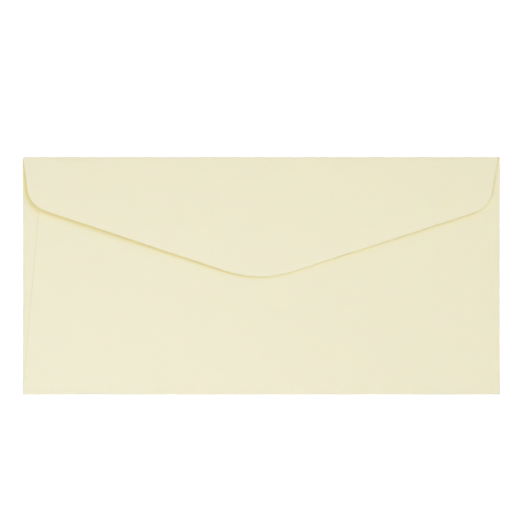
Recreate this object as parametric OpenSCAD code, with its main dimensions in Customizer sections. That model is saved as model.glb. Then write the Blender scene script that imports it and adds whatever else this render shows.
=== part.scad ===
// Wallet envelope: one sheet of paper, cut to shape, folded on four lines and glued at the sides.
// It lies on its front. +X runs along the wide side, +Y towards the top fold and +Z up.
// The origin is in the middle of the footprint, at the level it rests on.

/* [Envelope] */
// Width from side fold to side fold
envelope_w = 220; // [150:1:330]
// Height from the bottom fold to the top fold
envelope_h = 109.3; // [90:0.1:160]

/* [Paper] */
// Thickness of the sheet
paper_t = 0.15; // [0.1:0.01:0.3]
// Air that stays between two leaves that are folded together
leaf_gap = 0.1; // [0.05:0.01:0.3]
// Angle by which the cut outline is turned against the fold lines
blank_skew = 0.25; // [0:0.05:0.6]

/* [Side flaps] */
// How far each side flap reaches in from its fold
side_flap_w = 18; // [12:1:30]
// Distance from the top fold down to the side flap, measured at the side fold
side_flap_top_gap = 3.5; // [2:0.5:8]
// Distance from the bottom fold up to the side flap, measured at the side fold
side_flap_bottom_gap = 2; // [1.5:0.5:6]
// Slope of the side flap's two ends
side_flap_end_angle = 32; // [10:1:45]
// Radius of the side flap's two free corners
side_flap_corner_r = 5; // [1:0.5:8]

/* [Back panel] */
// Distance from the top fold down to the back panel's upper edge, the throat
throat_depth = 15; // [10:1:20]
// Slope of the back panel's side edges, which are the glued seams
seam_angle = 4.5; // [2:0.1:7]
// Distance from the bottom fold up to where each seam leaves the side fold
seam_start = 2; // [1:0.5:8]
// Radius of the back panel's upper corners
throat_corner_r = 6; // [1:0.5:12]

/* [Seal flap] */
// Distance from the top fold down to the flap's rounded tip
flap_depth = 55.1; // [40:0.1:70]
// Distance from the top fold down to where a side and a slanted edge would meet
shoulder_depth = 22.8; // [15:0.1:28]
// Distance from a side fold in to the end of the flap, at the top fold
flap_inset = 0.85; // [0.85:0.05:6]
// Slope of the flap's two short sides
flap_side_angle = 8.2; // [2:0.1:20]
// Radius of the flap's two shoulders
shoulder_r = 11.5; // [4:0.5:16]
// Radius of the flap's tip
tip_r = 48; // [10:1:70]
// How far the flap lies to the left of the middle
flap_shift = 0.6; // [0:0.05:0.6]
// Angle at which the flap springs up out of the top fold
flap_spring = 5.5; // [1:0.1:7]
// Height of the tip's underside over the back panel
tip_lift = 0.45; // [0.1:0.05:3]

/* [Hidden] */

PAPER_COLOUR = [0.93, 0.905, 0.80];

// Flat steps in each rounded corner of an outline, in each fold and in the seal flap's arch
CORNER_STEPS = 12;
FOLD_STEPS = 12;
ARCH_STEPS = 24;
// How far a fold's flat lead runs into the leaf that it joins
FOLD_LEAD = 1;
// How far a cutting shape runs past what it cuts
CUT_MARGIN = 2;

// Levels of the leaves' undersides
side_flap_z = paper_t + leaf_gap;
back_panel_z = side_flap_z + paper_t;
back_panel_top = back_panel_z + paper_t;

// Inner radius of each fold, from the leaves it joins, and its outer radius
side_fold_r = leaf_gap / 2;
bottom_fold_r = (back_panel_z - paper_t) / 2;
top_fold_r = (back_panel_top + leaf_gap - paper_t) / 2;
side_fold_out = side_fold_r + paper_t;
bottom_fold_out = bottom_fold_r + paper_t;
top_fold_out = top_fold_r + paper_t;

// Fold lines: the axes of the bends
side_axis_x = envelope_w / 2 - side_fold_out;
bottom_axis_y = -envelope_h / 2 + bottom_fold_out;
top_axis_y = envelope_h / 2 - top_fold_out;

// The seal flap leaves the top fold at flap_spring, and arches evenly down to its tip
flap_run = flap_depth - top_fold_out + top_fold_r * sin(flap_spring);
flap_start_z = top_fold_out + top_fold_r * cos(flap_spring);
flap_drop = flap_start_z - (back_panel_top + tip_lift);
flap_fall = flap_spring + 2 * atan(flap_drop / flap_run);
arch_r = flap_run / (sin(flap_spring) + sin(flap_fall));
flap_top_z = flap_start_z + arch_r * (1 - cos(flap_spring)) + paper_t;
// The arch's first and last angle about its centre, with some more past the tip to cut away
arch_start = 90 - flap_spring;
arch_end = 90 + flap_fall + CUT_MARGIN / arch_r * 180 / PI;

// The seal flap's corners, before they are rounded
flap_half_w = envelope_w / 2 - flap_inset;
shoulder_half_w = flap_half_w - shoulder_depth * tan(flap_side_angle);
slant = slant_angle(flap_depth - shoulder_depth, shoulder_half_w, tip_r);
point_depth = shoulder_depth + shoulder_half_w * tan(slant);

// Slope of a line that falls by the given depth to the lowest point of a rounded tip
function slant_angle(depth, half_w, radius) =
    asin(radius / norm([half_w, radius - depth])) - atan2(radius - depth, half_w);

function direction(angle) = [cos(angle), sin(angle)];

function unit(v) = v / norm(v);

function flat(corner) = [corner[0], corner[1]];

// Points along a round stretch, from one angle to another about its centre
function arc(centre, radius, from, to, steps) =
    [
        for (step = [0 : steps])
            centre + radius * direction(from + (to - from) * step / steps)
    ];

// An outline from its corners, each given as [x, y, radius]
function rounded_outline(corners) =
    let (count = len(corners))
    [
        for (i = [0 : count - 1])
            each corner_points(
                flat(corners[(i + count - 1) % count]),
                flat(corners[i]),
                flat(corners[(i + 1) % count]),
                corners[i][2]
            )
    ];

// One corner's points: the corner itself, or an arc that touches both of its sides
function corner_points(before, corner, after, radius) =
    radius == 0
        ? [corner]
        : let (
            to_before = unit(before - corner),
            to_after = unit(after - corner),
            half = acos(to_before * to_after) / 2,
            centre = corner + unit(to_before + to_after) * radius / sin(half),
            start = corner + to_before * radius / tan(half) - centre,
            from = atan2(start[1], start[0]),
            turn = sign(cross(to_after, to_before)) * (180 - 2 * half)
        )
        arc(centre, radius, from, from + turn, CORNER_STEPS);

// A leaf of the sheet, lying flat with its underside at the given level
module leaf(corners, level) {
    translate([0, 0, level])
        linear_extrude(height = paper_t)
            polygon(rounded_outline(corners));
}

// The section of a fold that turns the sheet back over itself, with its crease towards +X.
// A flat lead at each end lies inside the leaf that the fold joins.
module fold_section(inner_r) {
    outer_r = inner_r + paper_t;
    polygon(concat(
        [[-FOLD_LEAD, -outer_r]],
        arc([0, 0], outer_r, -90, 90, FOLD_STEPS),
        [[-FOLD_LEAD, outer_r], [-FOLD_LEAD, inner_r]],
        arc([0, 0], inner_r, 90, -90, FOLD_STEPS),
        [[-FOLD_LEAD, -inner_r]]
    ));
}

// The address side, which is underneath
module front_panel() {
    leaf([
        [-side_axis_x, bottom_axis_y, 0],
        [side_axis_x, bottom_axis_y, 0],
        [side_axis_x, top_axis_y, 0],
        [-side_axis_x, top_axis_y, 0]
    ], 0);
}

// The right side flap with its fold
module side_flap() {
    low_y = -envelope_h / 2 + side_flap_bottom_gap;
    high_y = envelope_h / 2 - side_flap_top_gap;
    free_x = envelope_w / 2 - side_flap_w;
    end_rise = (side_axis_x - free_x) * tan(side_flap_end_angle);
    leaf([
        [side_axis_x, low_y, 0],
        [side_axis_x, high_y, 0],
        [free_x, high_y - end_rise, side_flap_corner_r],
        [free_x, low_y + end_rise, side_flap_corner_r]
    ], side_flap_z);
    translate([side_axis_x, high_y, side_fold_out])
        rotate([90, 0, 0])
            linear_extrude(height = high_y - low_y)
                fold_section(side_fold_r);
}

// The back panel with the bottom fold, glued down on both side flaps
module back_panel() {
    throat_y = envelope_h / 2 - throat_depth;
    seam_y = -envelope_h / 2 + seam_start;
    seam_in = (throat_y - seam_y) * tan(seam_angle);
    skewed = (throat_y - bottom_axis_y) * tan(blank_skew);
    leaf([
        [-side_axis_x, bottom_axis_y, 0],
        [side_axis_x, bottom_axis_y, 0],
        [side_axis_x, seam_y, 0],
        [side_axis_x - seam_in + skewed, throat_y, throat_corner_r],
        [-side_axis_x + seam_in + skewed, throat_y, throat_corner_r],
        [-side_axis_x, seam_y, 0]
    ], back_panel_z);
    translate([side_axis_x, bottom_axis_y, bottom_fold_out])
        rotate([90, 0, -90])
            linear_extrude(height = 2 * side_axis_x)
                fold_section(bottom_fold_r);
}

// The seal flap's outline, carried on past the top fold so that it also trims the fold's ends
module flap_outline() {
    over_w = flap_half_w + CUT_MARGIN * tan(flap_side_angle);
    translate([-flap_shift, envelope_h / 2])
        rotate(-blank_skew)
            polygon(rounded_outline([
                [-over_w, CUT_MARGIN, 0],
                [-shoulder_half_w, -shoulder_depth, shoulder_r],
                [0, -point_depth, tip_r],
                [shoulder_half_w, -shoulder_depth, shoulder_r],
                [over_w, CUT_MARGIN, 0]
            ]));
}

// The section of the top fold, which goes on into the seal flap's arch. Its lead is in the front panel.
module flap_section() {
    arch_centre = (top_fold_r - arch_r) * direction(arch_start);
    polygon(concat(
        [[-FOLD_LEAD, -top_fold_out]],
        arc([0, 0], top_fold_out, -90, arch_start, FOLD_STEPS),
        arc(arch_centre, arch_r + paper_t, arch_start, arch_end, ARCH_STEPS),
        arc(arch_centre, arch_r, arch_end, arch_start, ARCH_STEPS),
        arc([0, 0], top_fold_r, arch_start, -90, FOLD_STEPS),
        [[-FOLD_LEAD, -top_fold_r]]
    ));
}

// The seal flap, closed but not stuck down
module seal_flap() {
    intersection() {
        translate([0, top_axis_y, top_fold_out])
            rotate([90, 0, 90])
                linear_extrude(height = envelope_w, center = true)
                    flap_section();
        translate([0, 0, -CUT_MARGIN])
            linear_extrude(height = flap_top_z + 2 * CUT_MARGIN)
                flap_outline();
    }
}

module envelope() {
    color(PAPER_COLOUR) {
        front_panel();
        side_flap();
        mirror([1, 0, 0])
            side_flap();
        back_panel();
        seal_flap();
    }
}

envelope();
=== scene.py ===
"""Dresses a closed wallet envelope: one folded sheet of cream paper on a pale table, in soft light."""

import logging
import math
from dataclasses import dataclass, field
from enum import Enum
from typing import Callable

import bmesh
import bpy
from mathutils import Matrix, Vector


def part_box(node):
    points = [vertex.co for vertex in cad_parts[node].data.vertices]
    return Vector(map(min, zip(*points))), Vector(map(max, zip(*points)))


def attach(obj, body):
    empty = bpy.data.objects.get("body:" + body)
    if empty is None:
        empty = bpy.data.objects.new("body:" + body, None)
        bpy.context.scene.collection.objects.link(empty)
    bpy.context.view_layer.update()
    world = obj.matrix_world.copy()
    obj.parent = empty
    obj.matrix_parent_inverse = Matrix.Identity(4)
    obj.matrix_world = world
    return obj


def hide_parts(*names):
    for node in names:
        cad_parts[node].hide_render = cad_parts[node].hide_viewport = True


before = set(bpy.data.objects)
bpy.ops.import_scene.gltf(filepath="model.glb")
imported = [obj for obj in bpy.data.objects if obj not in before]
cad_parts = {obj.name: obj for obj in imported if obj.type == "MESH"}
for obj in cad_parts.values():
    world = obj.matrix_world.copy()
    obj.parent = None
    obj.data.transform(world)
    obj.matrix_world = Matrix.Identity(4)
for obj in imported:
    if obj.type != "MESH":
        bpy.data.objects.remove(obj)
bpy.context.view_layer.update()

MM = 0.001
# What the dressed sheet lacks in width and in height, so that it stays inside the CAD box
HAIR = 0.004 * MM
# How near a cutting plane a point counts as lying on it
ON_PLANE = 1e-7
LOG = logging.getLogger("envelope")

# Says of an edge's two ends whether the edge is wanted
EdgeTest = Callable[[Vector, Vector], bool]
# Says of a face's middle whether the face is wanted
FaceTest = Callable[[Vector], bool]
Colour = tuple[float, float, float]


class Side(Enum):
    """The two ends of the envelope, as the sign of X."""

    LEFT = -1
    RIGHT = 1


class Falloff(Enum):
    """The ways in which a push on the sheet fades out, by Blender's names."""

    SMOOTH = "SMOOTH"
    SPHERE = "SPHERE"


@dataclass(frozen=True)
class Corner:
    """A corner of a cut outline in plan, with the radius that rounds it."""

    x: float
    y: float
    radius: float = 0.0

    def place(self) -> Vector:
        """Returns the corner's place in plan."""
        return Vector((self.x, self.y))

    def moved(self, turn: float, by: Vector) -> "Corner":
        """Returns the corner turned anticlockwise about the origin, in radians, and then shifted."""
        spot = Matrix.Rotation(turn, 2) @ self.place() + by
        return Corner(spot.x, spot.y, self.radius)

    def mirrored(self) -> "Corner":
        """Returns the corner on the other side of the middle."""
        return Corner(-self.x, self.y, self.radius)


@dataclass(frozen=True)
class Cut:
    """A straight cut in plan. What lies beyond it, on its outward side, falls away."""

    at: Vector
    outward: Vector

    def x_at(self, y: float) -> float:
        """Returns where the cut crosses a level line of the plan."""
        return self.at.x - (y - self.at.y) * self.outward.y / self.outward.x


def outward_of(start: Corner, end: Corner) -> Vector:
    """Finds the outward direction of one side of an outline that runs anticlockwise.

    Args:
        start: The side's first corner.
        end: Its second corner.

    Returns:
        A unit vector in plan.
    """
    along = (end.place() - start.place()).normalized()
    return Vector((along.y, -along.x))


def cuts_along(chain: list[Corner], steps: int) -> list[Cut]:
    """Lists the cuts that trim a leaf to a chain of straight sides with rounded corners between them.

    Args:
        chain: The corners in anticlockwise order. The first and the last one aren't rounded.
        steps: The number of short cuts that round each corner.

    Returns:
        One cut for each side, and the tangents of each rounded corner.
    """
    cuts = [Cut(start.place(), outward_of(start, end)) for start, end in zip(chain, chain[1:])]
    for before, corner, after in zip(chain, chain[1:], chain[2:]):
        first, last = outward_of(before, corner), outward_of(corner, after)
        centre = corner.place() - (first + last) * corner.radius / (1 + first.dot(last))
        turn = math.atan2(first.x * last.y - first.y * last.x, first.dot(last))
        for step in range(1, steps + 1):
            outward = Matrix.Rotation(turn * step / (steps + 1), 2) @ first
            cuts.append(Cut(centre + outward * corner.radius, outward))
    return cuts


@dataclass(frozen=True)
class Nudge:
    """A push on the sheet, which fades out over its reach."""

    at: Vector
    by: Vector
    reach: float
    falloff: Falloff = Falloff.SMOOTH


class Workpiece:
    """A mesh that is shaped in edit mode, with its edges and faces picked by their place."""

    def __init__(self, name: str, cells: tuple[int, int], low: Vector, high: Vector, level: float) -> None:
        """Adds a flat grid and opens it in edit mode.

        Args:
            name: The object's name.
            cells: The number of cells along X and along Y.
            low: The grid's lower left corner in plan.
            high: Its upper right corner in plan.
            level: Its height.
        """
        bpy.ops.object.select_all(action="DESELECT")
        centre = Vector(((low.x + high.x) / 2, (low.y + high.y) / 2, level))
        bpy.ops.mesh.primitive_grid_add(
            x_subdivisions=cells[0], y_subdivisions=cells[1], size=1, location=centre
        )
        self.obj = bpy.context.object
        self.obj.name = self.obj.data.name = name
        bpy.ops.object.transform_apply(location=True, rotation=True, scale=True)
        bpy.ops.object.mode_set(mode="EDIT")
        bpy.ops.transform.resize(value=(high.x - low.x, high.y - low.y, 1), center_override=centre)

    def mesh(self) -> bmesh.types.BMesh:
        """Returns the mesh as it is in edit mode."""
        return bmesh.from_edit_mesh(self.obj.data)

    def pick_border(self, wanted: EdgeTest) -> None:
        """Selects edges of the open border, and nothing else.

        Args:
            wanted: Says of an edge's two ends whether it is wanted.
        """
        bpy.ops.mesh.select_mode(type="EDGE")
        bpy.ops.mesh.select_all(action="DESELECT")
        for edge in self.mesh().edges:
            if edge.is_boundary and wanted(edge.verts[0].co, edge.verts[1].co):
                edge.select_set(True)
        bmesh.update_edit_mesh(self.obj.data)

    def pick_faces(self, wanted: FaceTest) -> None:
        """Selects faces, and nothing else.

        Args:
            wanted: Says of a face's middle whether it is wanted.
        """
        bpy.ops.mesh.select_mode(type="FACE")
        bpy.ops.mesh.select_all(action="DESELECT")
        for face in self.mesh().faces:
            face.select_set(wanted(face.calc_center_median()))
        bmesh.update_edit_mesh(self.obj.data)

    def trim(self, wanted: FaceTest, cuts: list[Cut]) -> None:
        """Cuts off what lies beyond each cut, on the picked faces alone.

        Args:
            wanted: Says of a face's middle whether the cuts reach it.
            cuts: The cuts.
        """
        for cut in cuts:
            self.pick_faces(wanted)
            bpy.ops.mesh.bisect(
                plane_co=cut.at.to_3d(), plane_no=cut.outward.to_3d(), clear_outer=True, threshold=ON_PLANE
            )

    def score(self, at: Vector, across: Vector) -> None:
        """Adds a straight row of edges through the whole mesh, at a point and square to a direction."""
        bpy.ops.mesh.select_all(action="SELECT")
        bpy.ops.mesh.bisect(plane_co=at, plane_no=across, threshold=ON_PLANE)

    def push(self, nudge: Nudge) -> None:
        """Moves the nearest point of the mesh, and what is round it on every leaf by less and less.

        Args:
            nudge: Where, which way and how far round.
        """
        bpy.ops.mesh.select_mode(type="VERT")
        bpy.ops.mesh.select_all(action="DESELECT")
        shown = (vert for vert in self.mesh().verts if not vert.hide)
        nearest = min(shown, key=lambda vert: (vert.co - nudge.at).length_squared)
        nearest.select_set(True)
        bmesh.update_edit_mesh(self.obj.data)
        bpy.ops.transform.translate(
            value=nudge.by,
            use_proportional_edit=True,
            proportional_edit_falloff=nudge.falloff.value,
            proportional_size=nudge.reach,
        )

    def hide_all_but(self, wanted: FaceTest) -> None:
        """Hides the faces that aren't wanted, so that pushes leave them alone until they are shown again."""
        self.pick_faces(lambda middle: not wanted(middle))
        bpy.ops.mesh.hide(unselected=False)

    def show_all(self) -> None:
        """Shows what was hidden."""
        bpy.ops.mesh.reveal(select=False)

    def close(self) -> bpy.types.Object:
        """Leaves edit mode and returns the object."""
        bpy.ops.object.mode_set(mode="OBJECT")
        return self.obj


@dataclass
class FoldedSheet:
    """The envelope: a blank of paper with two side flaps, a back panel and a seal flap, folded and glued."""

    width: float
    height: float

    # The paper and the layers between its leaves. The skew turns the cut outline against the folds.
    thickness: float = 0.15 * MM
    leaf_gap: float = 0.10 * MM
    glue_film: float = 0.01 * MM
    skew: float = math.radians(0.25)

    # The side flaps, under the back panel
    side_flap_w: float = 18 * MM
    side_flap_top_gap: float = 3.5 * MM
    side_flap_bottom_gap: float = 2 * MM
    side_flap_end_angle: float = math.radians(32)
    side_flap_corner_r: float = 5 * MM

    # The back panel, from the bottom fold up to the throat
    throat_depth: float = 15 * MM
    seam_angle: float = math.radians(4.78)
    seam_start: float = 2 * MM
    throat_corner_r: float = 6 * MM

    # The seal flap
    flap_depth: float = 55.0 * MM
    shoulder_depth: float = 22.8 * MM
    flap_inset: float = 0.85 * MM
    flap_side_angle: float = math.radians(8.2)
    right_side_angle: float = math.radians(9.2)
    left_shoulder_r: float = 11.8 * MM
    right_shoulder_r: float = 12.2 * MM
    tip_r: float = 48 * MM
    flap_shift: float = 0.6 * MM
    flap_spring: float = math.radians(5.0)
    tip_lift: float = 0.45 * MM

    # The unevenness: how far the flap curls up at three places, and how far the sides bow inwards
    left_rise: float = 0.1 * MM
    right_rise: float = 0.15 * MM
    tip_rise: float = 0.18 * MM
    rise_reach: float = 42 * MM
    left_bow: float = 0.17 * MM
    right_bow: float = 0.15 * MM
    bow_reach: float = 48 * MM

    # The mesh
    cell: float = 2 * MM
    fold_steps: int = 10
    corner_steps: int = 14
    cut_margin: float = 2 * MM
    near: float = 0.001 * MM
    merge_within: float = 0.01 * MM
    smooth_below: float = math.radians(30)

    # The levels of the leaves' middles, and the folds' radii and axes
    front_level: float = field(init=False)
    side_level: float = field(init=False)
    back_level: float = field(init=False)
    side_r: float = field(init=False)
    bottom_r: float = field(init=False)
    top_r: float = field(init=False)
    side_axis_x: float = field(init=False)
    bottom_axis_y: float = field(init=False)
    top_axis_y: float = field(init=False)

    def __post_init__(self) -> None:
        """Works out the levels of the leaves' middles and the places of the fold lines."""
        half = self.thickness / 2
        self.front_level = half + self.near
        self.back_level = 2 * self.thickness + self.leaf_gap + half
        self.side_level = self.back_level - self.thickness - self.glue_film
        self.side_r = (self.side_level - self.front_level) / 2
        self.bottom_r = (self.back_level - self.front_level) / 2
        self.top_r = (self.back_level + self.leaf_gap + self.thickness - self.front_level) / 2
        self.side_axis_x = self.width / 2 - self.side_r - half
        self.bottom_axis_y = -self.height / 2 + self.bottom_r + half
        self.top_axis_y = self.height / 2 - self.top_r - half

    def cells_over(self, length: float) -> int:
        """Returns the number of cells that a length is divided into."""
        return max(1, round(length / self.cell))

    def front_panel(self) -> Workpiece:
        """Adds the address side, flat on the table.

        Returns:
            The piece, open in edit mode.
        """
        low = Vector((-self.side_axis_x, self.bottom_axis_y))
        high = Vector((self.side_axis_x, self.top_axis_y))
        cells = (self.cells_over(high.x - low.x), self.cells_over(high.y - low.y))
        sheet = Workpiece("envelope_sheet", cells, low, high, self.front_level)
        for y in (self.side_flap_low(), self.side_flap_high()):
            sheet.score(Vector((0, y, 0)), Vector((0, 1, 0)))
        for side in Side:
            self.add_corners(sheet, side)
        for x in self.flap_ends():
            sheet.score(Vector((x, 0, 0)), Vector((1, 0, 0)))
        return sheet

    def add_corners(self, sheet: Workpiece, side: Side) -> None:
        """Takes the front panel's cut edge out past the side flap's fold line, above and below the side flap.

        Args:
            sheet: The sheet so far.
            side: The end of the envelope.
        """
        fold_x = side.value * self.side_axis_x
        low, high = self.side_flap_low() + self.near, self.side_flap_high() - self.near

        def beyond(a: Vector, b: Vector) -> bool:
            """Says whether an edge lies on the panel's end, above or below the side flap."""
            at_end = max(abs(a.x - fold_x), abs(b.x - fold_x)) < self.near
            return at_end and (max(a.y, b.y) < low or min(a.y, b.y) > high)

        sheet.pick_border(beyond)
        bpy.ops.mesh.extrude_repeat(steps=1, offset=(side.value * (self.width / 2 - self.side_axis_x), 0, 0))

    def side_flap_low(self) -> float:
        """Returns where a side flap starts on its fold, above the bottom."""
        return -self.height / 2 + self.side_flap_bottom_gap

    def side_flap_high(self) -> float:
        """Returns where a side flap ends on its fold, below the top."""
        return self.height / 2 - self.side_flap_top_gap

    def add_side_flap(self, sheet: Workpiece, side: Side) -> None:
        """Folds a side flap up and over the front panel, and cuts its slanted ends.

        Args:
            sheet: The sheet so far.
            side: The end of the envelope that it is at.
        """
        fold_x = side.value * self.side_axis_x
        low, high = self.side_flap_low() - self.near, self.side_flap_high() + self.near

        def on_fold(a: Vector, b: Vector) -> bool:
            """Says whether an edge lies on the fold line of this flap."""
            return all(abs(end.x - fold_x) < self.near and low < end.y < high for end in (a, b))

        sheet.pick_border(on_fold)
        axis = Vector((fold_x, 0, self.front_level + self.side_r))
        bpy.ops.mesh.spin(
            steps=self.fold_steps, angle=math.pi, center=axis, axis=(0, side.value, 0)
        )
        run = self.side_flap_w - (self.width / 2 - self.side_axis_x)
        count = self.cells_over(run)
        bpy.ops.mesh.extrude_repeat(steps=count, offset=(-side.value * run / count, 0, 0))
        free_x = self.side_axis_x - run
        rise = run * math.tan(self.side_flap_end_angle)
        chain = [
            Corner(self.side_axis_x, self.side_flap_high()),
            Corner(free_x, self.side_flap_high() - rise, self.side_flap_corner_r),
            Corner(free_x, self.side_flap_low() + rise, self.side_flap_corner_r),
            Corner(self.side_axis_x, self.side_flap_low()),
        ]
        if side is Side.LEFT:
            chain = [corner.mirrored() for corner in reversed(chain)]
        level = self.side_level - self.near
        sheet.trim(
            lambda middle: middle.z > level and middle.x * side.value > 0,
            cuts_along(chain, self.corner_steps),
        )

    def add_back_panel(self, sheet: Workpiece) -> None:
        """Folds the back panel up from the bottom over both side flaps, and cuts its seams and its throat.

        Args:
            sheet: The sheet so far.
        """
        sheet.pick_border(lambda a, b: max(a.y, b.y) < self.bottom_axis_y + self.near)
        axis = Vector((0, self.bottom_axis_y, self.front_level + self.bottom_r))
        bpy.ops.mesh.spin(steps=self.fold_steps, angle=math.pi, center=axis, axis=(1, 0, 0))
        throat_y = self.height / 2 - self.throat_depth
        run = throat_y - self.bottom_axis_y
        count = self.cells_over(run)
        bpy.ops.mesh.extrude_repeat(steps=count, offset=(0, run / count, 0))
        seam_y = -self.height / 2 + self.seam_start
        seam_in = (throat_y - seam_y) * math.tan(self.seam_angle)
        skewed = run * math.tan(self.skew)
        chain = [
            Corner(self.side_axis_x, seam_y),
            Corner(self.side_axis_x - seam_in + skewed, throat_y, self.throat_corner_r),
            Corner(-self.side_axis_x + seam_in + skewed, throat_y, self.throat_corner_r),
            Corner(-self.side_axis_x, seam_y),
        ]
        level = self.back_level - self.near
        sheet.trim(lambda middle: middle.z > level, cuts_along(chain, self.corner_steps))

    def flap_cuts(self) -> list[Cut]:
        """Lists the cuts of the seal flap: two short sides, two shoulders, two slants and the tip.

        Returns:
            The cuts, turned and shifted as the blank is against its folds.
        """
        half_w = self.width / 2 - self.flap_inset
        shoulder_w = half_w - self.shoulder_depth * math.tan(self.flap_side_angle)
        depth = self.flap_depth - self.shoulder_depth
        reach = math.hypot(shoulder_w, self.tip_r - depth)
        slant = math.asin(self.tip_r / reach) - math.atan2(self.tip_r - depth, shoulder_w)
        point = self.shoulder_depth + shoulder_w * math.tan(slant)
        over_depth = self.shoulder_depth + self.cut_margin
        chain = [
            Corner(-shoulder_w - over_depth * math.tan(self.flap_side_angle), self.cut_margin),
            Corner(-shoulder_w, -self.shoulder_depth, self.left_shoulder_r),
            Corner(0, -point, self.tip_r),
            Corner(shoulder_w, -self.shoulder_depth, self.right_shoulder_r),
            Corner(shoulder_w + over_depth * math.tan(self.right_side_angle), self.cut_margin),
        ]
        shift = Vector((-self.flap_shift, self.height / 2))
        return cuts_along([corner.moved(-self.skew, shift) for corner in chain], self.corner_steps)

    def flap_ends(self) -> tuple[float, float]:
        """Finds where the seal flap starts and ends on the front panel's upper edge.

        Returns:
            The places along X, the left one first.
        """
        steep = [cut for cut in self.flap_cuts() if abs(cut.outward.x) > abs(cut.outward.y)]
        places = [cut.x_at(self.top_axis_y) for cut in steep]
        half_w = self.width / 2
        return min(places, key=lambda x: abs(x + half_w)), min(places, key=lambda x: abs(x - half_w))

    def on_flap(self, middle: Vector) -> bool:
        """Says whether a face of the folded sheet lies on the seal flap, past its fold."""
        return middle.z > self.back_level + self.thickness / 2 and middle.y < self.top_axis_y

    def add_seal_flap(self, sheet: Workpiece) -> None:
        """Folds the seal flap over from the top, where it springs up and arches down to its tip.

        Args:
            sheet: The sheet so far.
        """
        half = self.thickness / 2
        left, right = self.flap_ends()

        def on_fold(a: Vector, b: Vector) -> bool:
            """Says whether an edge lies on the fold line of the flap."""
            level = abs(a.z - self.front_level) < self.near and min(a.y, b.y) > self.top_axis_y - self.near
            return level and min(a.x, b.x) > left - self.near and max(a.x, b.x) < right + self.near

        sheet.pick_border(on_fold)
        axis = Vector((0, self.top_axis_y, self.front_level + self.top_r))
        bpy.ops.mesh.spin(
            steps=self.fold_steps, angle=math.pi - self.flap_spring, center=axis, axis=(-1, 0, 0)
        )
        inner_r = self.top_r - half
        run = self.flap_depth - (self.top_r + half) + inner_r * math.sin(self.flap_spring)
        start_z = axis.z + inner_r * math.cos(self.flap_spring)
        drop = start_z - (self.back_level + half + self.tip_lift)
        fall = self.flap_spring + 2 * math.atan(drop / run)
        arch_r = run / (math.sin(self.flap_spring) + math.sin(fall)) + half
        spring = Vector((0, math.sin(self.flap_spring), math.cos(self.flap_spring)))
        centre = axis + spring * (self.top_r - arch_r)
        turn = self.flap_spring + fall + self.cut_margin / arch_r
        bpy.ops.mesh.spin(
            steps=self.cells_over(turn * arch_r), angle=turn, center=centre, axis=(-1, 0, 0)
        )
        sheet.trim(self.on_flap, self.flap_cuts())

    def settle(self, sheet: Workpiece) -> None:
        """Gives the folded sheet its unevenness, on the seal flap alone and then at both sides.

        Args:
            sheet: The folded sheet.
        """
        shoulder_y = self.height / 2 - self.shoulder_depth
        sheet.hide_all_but(self.on_flap)
        for x, y, rise in (
            (-self.width / 2, shoulder_y, self.left_rise),
            (self.width / 2, shoulder_y, self.right_rise),
            (-self.flap_shift, self.height / 2 - self.flap_depth, self.tip_rise),
        ):
            sheet.push(Nudge(Vector((x, y, self.back_level)), Vector((0, 0, rise)), self.rise_reach))
        sheet.show_all()
        for side, bow in ((Side.LEFT, self.left_bow), (Side.RIGHT, self.right_bow)):
            at = Vector((side.value * self.width / 2, 0, self.front_level + self.side_r))
            sheet.push(Nudge(at, Vector((-side.value * bow, 0, 0)), self.bow_reach, Falloff.SPHERE))

    def dress(self, sheet: bpy.types.Object, face: bpy.types.Material, edge: bpy.types.Material) -> None:
        """Gives the sheet its two finishes, of which the rim takes the second when it is made."""
        sheet.data.materials.append(face)
        sheet.data.materials.append(edge)

    def thicken(self, sheet: bpy.types.Object) -> None:
        """Gives the sheet the paper's thickness, with the next finish on its rim.

        Args:
            sheet: The sheet's object.
        """
        solidify = sheet.modifiers.new("paper", "SOLIDIFY")
        solidify.thickness = self.thickness
        solidify.offset = 0
        solidify.use_even_offset = True
        solidify.use_rim = True
        solidify.material_offset_rim = 1
        bpy.ops.object.modifier_apply(modifier=solidify.name)

    def build(self, face: bpy.types.Material, edge: bpy.types.Material) -> bpy.types.Object:
        """Makes the whole sheet.

        Args:
            face: The finish of the sheet's two faces.
            edge: The finish of its cut edge.

        Returns:
            Its object, at the origin.
        """
        sheet = self.front_panel()
        self.add_side_flap(sheet, Side.LEFT)
        self.add_side_flap(sheet, Side.RIGHT)
        self.add_back_panel(sheet)
        self.add_seal_flap(sheet)
        self.settle(sheet)
        bpy.ops.mesh.select_all(action="SELECT")
        bpy.ops.mesh.remove_doubles(threshold=self.merge_within)
        bpy.ops.mesh.normals_make_consistent(inside=False)
        made = sheet.close()
        self.dress(made, face, edge)
        self.thicken(made)
        bpy.ops.object.shade_smooth_by_angle(angle=self.smooth_below)
        return made


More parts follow.
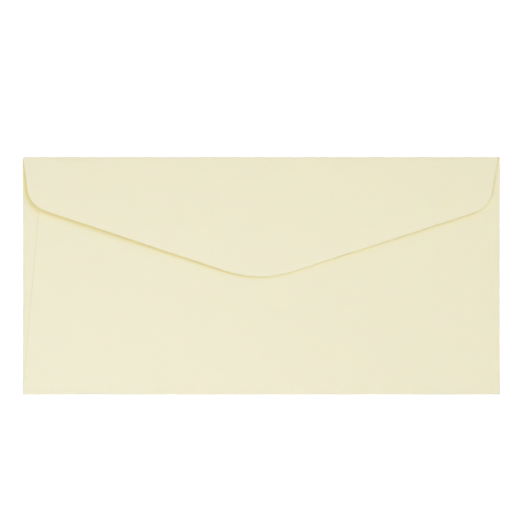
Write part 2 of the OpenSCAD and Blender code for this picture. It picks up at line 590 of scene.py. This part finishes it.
class Board:
    """A node tree that is filled step by step."""

    def __init__(self, tree: bpy.types.NodeTree) -> None:
        """Takes the tree that the nodes go into."""
        self.tree = tree

    def add(self, kind: str, **settings: object) -> bpy.types.Node:
        """Adds a node.

        Args:
            kind: The node's type.
            **settings: The node's own settings, such as its operation.

        Returns:
            The node.
        """
        node = self.tree.nodes.new(kind)
        for name, value in settings.items():
            setattr(node, name, value)
        return node

    def feed(self, node: bpy.types.Node, **inputs: object) -> None:
        """Sets a node's inputs, each to a plain value or to what another node puts out.

        Args:
            node: The node.
            **inputs: The values. A value goes by its input's name, with an underscore for each space, or by
                the input's place, as in in0.
        """
        for name, value in inputs.items():
            place = name.removeprefix("in")
            socket = node.inputs[int(place) if place.isdigit() else name.replace("_", " ")]
            if isinstance(value, bpy.types.NodeSocket):
                self.tree.links.new(value, socket)
            else:
                socket.default_value = value

    def math(self, operation: str, first: object, second: object) -> bpy.types.NodeSocket:
        """Adds a sum of two values.

        Args:
            operation: What is done with them.
            first: The first value.
            second: The second value.

        Returns:
            The result.
        """
        node = self.add("ShaderNodeMath", operation=operation)
        self.feed(node, in0=first, in1=second)
        return node.outputs[0]

    def blend(self, share: object, first: object, second: object) -> bpy.types.NodeSocket:
        """Adds a blend of two values.

        Args:
            share: How much of the second value goes in.
            first: The first value.
            second: The second value.

        Returns:
            The result.
        """
        node = self.add("ShaderNodeMix", data_type="FLOAT")
        self.feed(node, in0=share, in2=first, in3=second)
        return node.outputs[0]

    def ramp(self, value: object, **ends: object) -> bpy.types.NodeSocket:
        """Adds a straight ramp, which stays level past its ends.

        Args:
            value: What runs along the ramp.
            **ends: From_Min and From_Max, and To_Min and To_Max where they aren't nought and one.

        Returns:
            The ramp's height at the value.
        """
        node = self.add("ShaderNodeMapRange")
        self.feed(node, Value=value, **ends)
        return node.outputs["Result"]

    def noise(self, **inputs: object) -> bpy.types.NodeSocket:
        """Adds a cloudy noise.

        Args:
            **inputs: Its inputs.

        Returns:
            Its value.
        """
        node = self.add("ShaderNodeTexNoise")
        self.feed(node, **inputs)
        return node.outputs["Fac"]

    def scaled(self, vector: object, factor: object) -> bpy.types.NodeSocket:
        """Adds a colour or a vector times a factor.

        Args:
            vector: The colour or the vector.
            factor: The factor.

        Returns:
            The result.
        """
        node = self.add("ShaderNodeVectorMath", operation="SCALE")
        self.feed(node, in0=vector, Scale=factor)
        return node.outputs["Vector"]

    def place(self) -> bpy.types.NodeSocket:
        """Returns the place on the object."""
        return self.add("ShaderNodeTexCoord").outputs["Object"]


class Socket(Enum):
    """The kinds of value that a node group takes and gives."""

    NUMBER = "NodeSocketFloat"
    COLOUR = "NodeSocketColor"


class Effect(Enum):
    """The effects that the finishes share, each a node group."""

    CLOUDS = "fibre_clouds"
    GRAIN = "paper_grain"
    # Painted shade in gaps and where leaves touch
    DEPTH = "gap_depth"

    def group(self) -> bpy.types.NodeTree:
        """Finds the effect's node group, which is built when it is first asked for.

        Returns:
            The group.
        """
        built = bpy.data.node_groups.get(self.value)
        if built:
            return built
        makers = {Effect.CLOUDS: fibre_clouds, Effect.GRAIN: paper_grain, Effect.DEPTH: gap_depth}
        return makers[self](self.value)


def new_group(
    name: str, inputs: dict[str, Socket], outputs: dict[str, Socket]
) -> tuple[Board, dict[str, bpy.types.NodeSocket], bpy.types.Node]:
    """Starts a node group.

    Args:
        name: The group's name.
        inputs: The kind of each input, by name.
        outputs: The kind of each output, by name.

    Returns:
        The board of its nodes, the inputs' sockets by name, and the node that takes the outputs.
    """
    tree = bpy.data.node_groups.new(name, "ShaderNodeTree")
    for label, kind in inputs.items():
        tree.interface.new_socket(label, in_out="INPUT", socket_type=kind.value)
    for label, kind in outputs.items():
        tree.interface.new_socket(label, in_out="OUTPUT", socket_type=kind.value)
    board = Board(tree)
    source, target = board.add("NodeGroupInput"), board.add("NodeGroupOutput")
    return board, {label: source.outputs[label] for label in inputs}, target


def fibre_clouds(name: str) -> bpy.types.NodeTree:
    """Builds the faint cloudiness of pulp: wide soft patches with finer flocks in them.

    Args:
        name: The group's name.

    Returns:
        The group, which takes a colour and gives it back a little lighter or darker from place to place.
    """
    flocks_per_patch = 9.0
    board, given, result = new_group(
        name,
        {"Colour": Socket.COLOUR, "Patches per metre": Socket.NUMBER, "Strength": Socket.NUMBER},
        {"Colour": Socket.COLOUR},
    )
    place = board.place()
    patches = board.noise(Vector=place, Scale=given["Patches per metre"], Detail=2.0, Roughness=0.5)
    finer = board.math("MULTIPLY", given["Patches per metre"], flocks_per_patch)
    flocks = board.noise(Vector=place, Scale=finer, Detail=4.0, Roughness=0.6)
    middling = board.math("SUBTRACT", board.math("ADD", patches, flocks), 1.0)
    uneven = board.math("MULTIPLY", middling, given["Strength"])
    board.feed(result, Colour=board.scaled(given["Colour"], board.math("ADD", uneven, 1.0)))
    return board.tree


def paper_grain(name: str) -> bpy.types.NodeTree:
    """Builds the fine felt of fibres, which lie mostly along the sheet's length.

    Args:
        name: The group's name.

    Returns:
        The group, which gives a height for a bump and a roughness.
    """
    drawn_out = (0.35, 1.0, 1.0)
    felt_per_fibre = 0.25
    roughness_spread = 0.15
    board, given, result = new_group(
        name,
        {"Fibres per metre": Socket.NUMBER, "Roughness": Socket.NUMBER},
        {"Height": Socket.NUMBER, "Roughness": Socket.NUMBER},
    )
    place = board.place()
    along = board.add("ShaderNodeVectorMath", operation="MULTIPLY")
    board.feed(along, in0=place, in1=drawn_out)
    fibres = board.noise(
        Vector=along.outputs["Vector"], Scale=given["Fibres per metre"], Detail=3.0, Distortion=0.6
    )
    coarser = board.math("MULTIPLY", given["Fibres per metre"], felt_per_fibre)
    height = board.math("ADD", fibres, board.noise(Vector=place, Scale=coarser, Detail=2.0))
    spread = board.math("MULTIPLY", board.math("SUBTRACT", height, 1.0), roughness_spread)
    board.feed(result, Height=height, Roughness=board.math("ADD", given["Roughness"], spread))
    return board.tree


def gap_depth(name: str) -> bpy.types.NodeTree:
    """Builds painted shade: a yellower, darker tint painted into the colour of narrow gaps, where shade falls
    and light goes from leaf to leaf and loses more of its blue.

    Args:
        name: The group's name.

    Returns:
        The group, which takes a colour, the colour of the painted shade, how open the place is all round and
        towards the lit side, how open a flat face is that way, how open the place is where the painted shade
        is full, how much of it counts from all round, and how much of it is left in the better lit right
        half. Where leaves touch, which is told from how open the place is close by, a plain painted shade
        takes the tint's place.
    """
    covered_at, roofed_at, roof_power = 0.96, 0.5, 0.6
    fade_start, fade_end = -10 * MM, 30 * MM
    numbers = (
        "Openness",
        "Lit side",
        "Close by",
        "Flat at",
        "Full at",
        "Falloff",
        "All round",
        "Right share",
        "Shade",
    )
    board, given, result = new_group(
        name,
        {"Colour": Socket.COLOUR, "Tint": Socket.COLOUR, **dict.fromkeys(numbers, Socket.NUMBER)},
        {"Colour": Socket.COLOUR},
    )
    covered = board.ramp(given["Openness"], From_Min=1.0, From_Max=covered_at)
    roofed = board.ramp(given["Openness"], From_Min=1.0, From_Max=roofed_at)
    closed = board.ramp(given["Lit side"], From_Min=given["Flat at"], From_Max=given["Full at"])
    touching = board.ramp(given["Close by"], From_Min=given["Flat at"], From_Max=given["Full at"])
    along = board.add("ShaderNodeSeparateXYZ")
    board.feed(along, Vector=board.place())
    shade_right_fade = board.ramp(
        along.outputs["X"], From_Min=fade_start, From_Max=fade_end, To_Min=1.0, To_Max=given["Right share"]
    )
    one_way = board.math("POWER", closed, given["Falloff"])
    depth = board.blend(given["All round"], one_way, board.math("POWER", roofed, roof_power))
    painted_contact = board.math("MULTIPLY", covered, touching)
    clear = board.math("SUBTRACT", covered, painted_contact)
    # Painted shade: the share of the yellower, darker tint in gaps, less of it in the better lit right half
    share = board.math("MULTIPLY", clear, board.math("MULTIPLY", depth, shade_right_fade))
    shade_tinted = board.add("ShaderNodeMix", data_type="RGBA", blend_type="MULTIPLY")
    board.feed(shade_tinted, in0=share, in6=given["Colour"], in7=given["Tint"])
    # Painted contact shade: the colour darkened where leaves touch, at the seams
    left_over = board.math("SUBTRACT", 1.0, board.math("MULTIPLY", painted_contact, given["Shade"]))
    board.feed(result, Colour=board.scaled(shade_tinted.outputs[2], left_over))
    return board.tree


@dataclass(frozen=True)
class PaperFinish:
    """Uncoated paper, through-dyed."""

    name: str
    colour: Colour
    roughness: float = 0.86
    gloss: float = 0.25

    # The light that goes into the paper and comes out again
    glow: float = 0.25
    glow_spread: Colour = (1.0, 0.8, 0.45)
    glow_reach: float = 0.08 * MM

    # Painted shade: a tint painted into the colour of the gaps, where shade falls. The lean and the azimuth
    # point to the lit side, where most light comes from.
    painted_shade_tint: Colour = (1.0, 0.925, 0.565)
    painted_shade_full_at: float = 0.65
    painted_shade_reach: float = 8 * MM
    painted_shade_lean: float = math.radians(36)
    painted_shade_azimuth: float = math.radians(-12)
    painted_shade_falloff: float = 1.05
    painted_shade_all_round: float = 0.2
    painted_shade_right_share: float = 0.7
    painted_shade_samples: int = 12
    # Painted shade where leaves touch: how near it reaches and how much it darkens
    painted_contact_reach: float = 0.4 * MM
    painted_contact_shade: float = 0.115

    # The cloudiness and the grain
    cloud_strength: float = 0.012
    patches_per_metre: float = 90.0
    fibres_per_metre: float = 4200.0
    grain_height: float = 0.006 * MM

    def clouded(self, board: Board) -> bpy.types.NodeSocket:
        """Adds the cloudy colour of the open surface.

        Args:
            board: The material's nodes.

        Returns:
            The colour.
        """
        clouds = board.add("ShaderNodeGroup", node_tree=Effect.CLOUDS.group())
        board.feed(
            clouds,
            Colour=(*self.colour, 1),
            Patches_per_metre=self.patches_per_metre,
            Strength=self.cloud_strength,
        )
        return clouds.outputs["Colour"]

    def with_painted_gap_shade(self, board: Board, colour: bpy.types.NodeSocket) -> bpy.types.NodeSocket:
        """Adds the painted shade of the gaps, and the darker painted shade where leaves touch.

        Args:
            board: The material's nodes.
            colour: The colour of the open surface.

        Returns:
            The colour with the painted shade in it.
        """
        openness, lit_side, close_by = (
            board.add("ShaderNodeAmbientOcclusion", samples=self.painted_shade_samples, only_local=True)
            for _ in range(3)
        )
        towards = board.add("ShaderNodeCombineXYZ")
        aside = math.sin(self.painted_shade_lean)
        board.feed(
            towards,
            X=aside * math.cos(self.painted_shade_azimuth),
            Y=aside * math.sin(self.painted_shade_azimuth),
            Z=math.cos(self.painted_shade_lean),
        )
        board.feed(openness, Distance=self.painted_shade_reach)
        board.feed(lit_side, Distance=self.painted_shade_reach, Normal=towards.outputs["Vector"])
        board.feed(close_by, Distance=self.painted_contact_reach, Normal=towards.outputs["Vector"])
        depth = board.add("ShaderNodeGroup", node_tree=Effect.DEPTH.group())
        board.feed(
            depth,
            Colour=colour,
            Tint=(*self.painted_shade_tint, 1),
            Openness=openness.outputs["AO"],
            Lit_side=lit_side.outputs["AO"],
            Close_by=close_by.outputs["AO"],
            Flat_at=(1 + math.cos(self.painted_shade_lean)) / 2,
            Full_at=self.painted_shade_full_at,
            Falloff=self.painted_shade_falloff,
            All_round=self.painted_shade_all_round,
            Right_share=self.painted_shade_right_share,
            Shade=self.painted_contact_shade,
        )
        return depth.outputs["Colour"]

    def material(self) -> bpy.types.Material:
        """Builds the material.

        Returns:
            The material, with its nodes.
        """
        material = bpy.data.materials.new(self.name)
        material.use_nodes = True
        board = Board(material.node_tree)
        grain = board.add("ShaderNodeGroup", node_tree=Effect.GRAIN.group())
        board.feed(grain, Fibres_per_metre=self.fibres_per_metre, Roughness=self.roughness)
        bump = board.add("ShaderNodeBump")
        board.feed(bump, Height=grain.outputs["Height"], Distance=self.grain_height, Strength=1.0)
        board.feed(
            material.node_tree.nodes["Principled BSDF"],
            # Base colour: the cloudy paper colour with the painted shade of its gaps in it
            Base_Color=self.with_painted_gap_shade(board, self.clouded(board)),
            Roughness=grain.outputs["Roughness"],
            Normal=bump.outputs["Normal"],
            Specular_IOR_Level=self.gloss,
            Subsurface_Weight=self.glow,
            Subsurface_Radius=self.glow_spread,
            Subsurface_Scale=self.glow_reach,
        )
        return material


@dataclass(frozen=True)
class Lamp:
    """A square soft lamp that points at the envelope, with its angles in degrees."""

    name: str
    azimuth: float
    elevation: float
    distance: float
    size: float
    power: float
    colour: Colour = (1.0, 1.0, 1.0)

    def add(self) -> bpy.types.Object:
        """Adds the lamp.

        Returns:
            Its object.
        """
        level, turn = math.radians(self.elevation), math.radians(self.azimuth)
        away = Vector((math.cos(level) * math.cos(turn), math.cos(level) * math.sin(turn), math.sin(level)))
        light = bpy.data.lights.new(self.name, "AREA")
        light.shape = "SQUARE"
        light.size = self.size
        light.energy = self.power
        light.color = self.colour
        lamp = bpy.data.objects.new(self.name, light)
        bpy.context.scene.collection.objects.link(lamp)
        lamp.location = away * self.distance
        lamp.rotation_euler = (-away).to_track_quat("-Z", "Y").to_euler()
        lamp.visible_camera = False
        return lamp


@dataclass
class Studio:
    """The table, the lamps, the surroundings and the camera."""

    # The camera, which looks straight down. Its lens and its sensor are in millimetres.
    frame_width: float = 239.8 * MM
    aim: tuple[float, float] = (-0.62 * MM, 7.31 * MM)
    lens: float = 100.0
    sensor: float = 36.0
    clip_start: float = 0.01

    # The strength of the even light from all round
    dome: float = 0.15

    # The table. Where it is seen, a glow lifts its tone to white, fully so at the far distance.
    table_size: float = 6.0
    table_drop: float = 0.02 * MM
    table_colour: Colour = (0.8, 0.8, 0.8)
    table_tone: float = 0.3
    table_lift: float = 0.8
    lift_near: float = 0.3
    lift_far: float = 0.9

    lamps: tuple[Lamp, ...] = (
        Lamp(
            "overhead",
            azimuth=225,
            elevation=81,
            distance=0.9,
            size=0.5,
            power=5.3,
            colour=(1.0, 0.98, 0.92),
        ),
        Lamp("key", azimuth=33, elevation=40, distance=1.6, size=0.9, power=7.4),
        Lamp(
            "fill",
            azimuth=232,
            elevation=50,
            distance=0.5,
            size=0.4,
            power=0.67,
            colour=(0.45, 0.55, 1.0),
        ),
    )

    def add_camera(self) -> None:
        """Adds the camera, which looks straight down."""
        camera = bpy.data.cameras.new("camera")
        camera.lens = self.lens
        camera.sensor_width = self.sensor
        camera.clip_start = self.clip_start
        holder = bpy.data.objects.new("camera", camera)
        bpy.context.scene.collection.objects.link(holder)
        holder.location = (*self.aim, self.frame_width * self.lens / self.sensor)
        bpy.context.scene.camera = holder

    def add_table(self) -> None:
        """Adds the pale table top."""
        bpy.ops.object.select_all(action="DESELECT")
        bpy.ops.mesh.primitive_plane_add(size=self.table_size, location=(0, 0, -self.table_drop))
        bpy.ops.object.transform_apply(location=True, rotation=False, scale=False)
        table = bpy.context.object
        table.name = "table"
        table.data.materials.append(self.table_material())

    def seen_directly(self, board: Board) -> bpy.types.NodeSocket:
        """Adds a mask that is one for the camera, and for what a gloss or a clear piece shows of the room.

        Args:
            board: The nodes of the material or the world.

        Returns:
            The mask.
        """
        path = board.add("ShaderNodeLightPath").outputs
        mirrored = board.math("MAXIMUM", path["Is Glossy Ray"], path["Is Transmission Ray"])
        return board.math("MAXIMUM", path["Is Camera Ray"], mirrored)

    def table_material(self) -> bpy.types.Material:
        """Builds the table's white, which still takes the envelope's shadow.

        Returns:
            The material: plain pale matt to the light, and lifted to white where it is seen.
        """
        material = bpy.data.materials.new("white_table")
        material.use_nodes = True
        board = Board(material.node_tree)
        plain = material.node_tree.nodes["Principled BSDF"]
        board.feed(plain, Base_Color=(*self.table_colour, 1), Roughness=1.0, Specular_IOR_Level=0.0)
        away = board.add("ShaderNodeVectorMath", operation="LENGTH")
        board.feed(away, in0=board.place())
        lift = board.ramp(
            away.outputs["Value"],
            From_Min=self.lift_near,
            From_Max=self.lift_far,
            To_Min=self.table_lift,
            To_Max=1.0,
        )
        shaded, glow = board.add("ShaderNodeBsdfDiffuse"), board.add("ShaderNodeEmission")
        board.feed(shaded, Color=(self.table_tone, self.table_tone, self.table_tone, 1))
        board.feed(glow, Strength=lift)
        lifted, chosen = board.add("ShaderNodeAddShader"), board.add("ShaderNodeMixShader")
        board.feed(lifted, in0=shaded.outputs[0], in1=glow.outputs[0])
        board.feed(chosen, in0=self.seen_directly(board), in1=plain.outputs[0], in2=lifted.outputs[0])
        board.feed(material.node_tree.nodes["Material Output"], Surface=chosen.outputs[0])
        return material

    def add_surroundings(self) -> None:
        """Lights the scene evenly from all round, with white behind it."""
        world = bpy.data.worlds.new("studio")
        bpy.context.scene.world = world
        world.use_nodes = True
        board = Board(world.node_tree)
        strength = board.blend(self.seen_directly(board), self.dome, 1.0)
        board.feed(world.node_tree.nodes["Background"], Color=(1, 1, 1, 1), Strength=strength)

    def build(self) -> None:
        """Sets up everything round the envelope."""
        bpy.context.scene.view_settings.view_transform = "Standard"
        self.add_camera()
        self.add_table()
        self.add_surroundings()
        for lamp in self.lamps:
            lamp.add()


def main() -> None:
    """Builds the envelope and the studio."""
    logging.basicConfig(level=logging.INFO, format="%(name)s: %(message)s")
    low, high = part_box("envelope")
    paper = PaperFinish("cream_paper", (0.861, 0.818, 0.6)).material()
    cut_edge = PaperFinish("cut_edge", (0.87, 0.84, 0.66), roughness=0.95).material()
    sheet = FoldedSheet(width=high.x - low.x - HAIR, height=high.y - low.y - HAIR).build(paper, cut_edge)
    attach(sheet, "root")
    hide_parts("envelope")
    LOG.info("%s: %d faces", sheet.name, len(sheet.data.polygons))
    studio = Studio()
    studio.build()
    LOG.info("studio: %d lamps", len(studio.lamps))


if __name__ == "__main__":
    main()
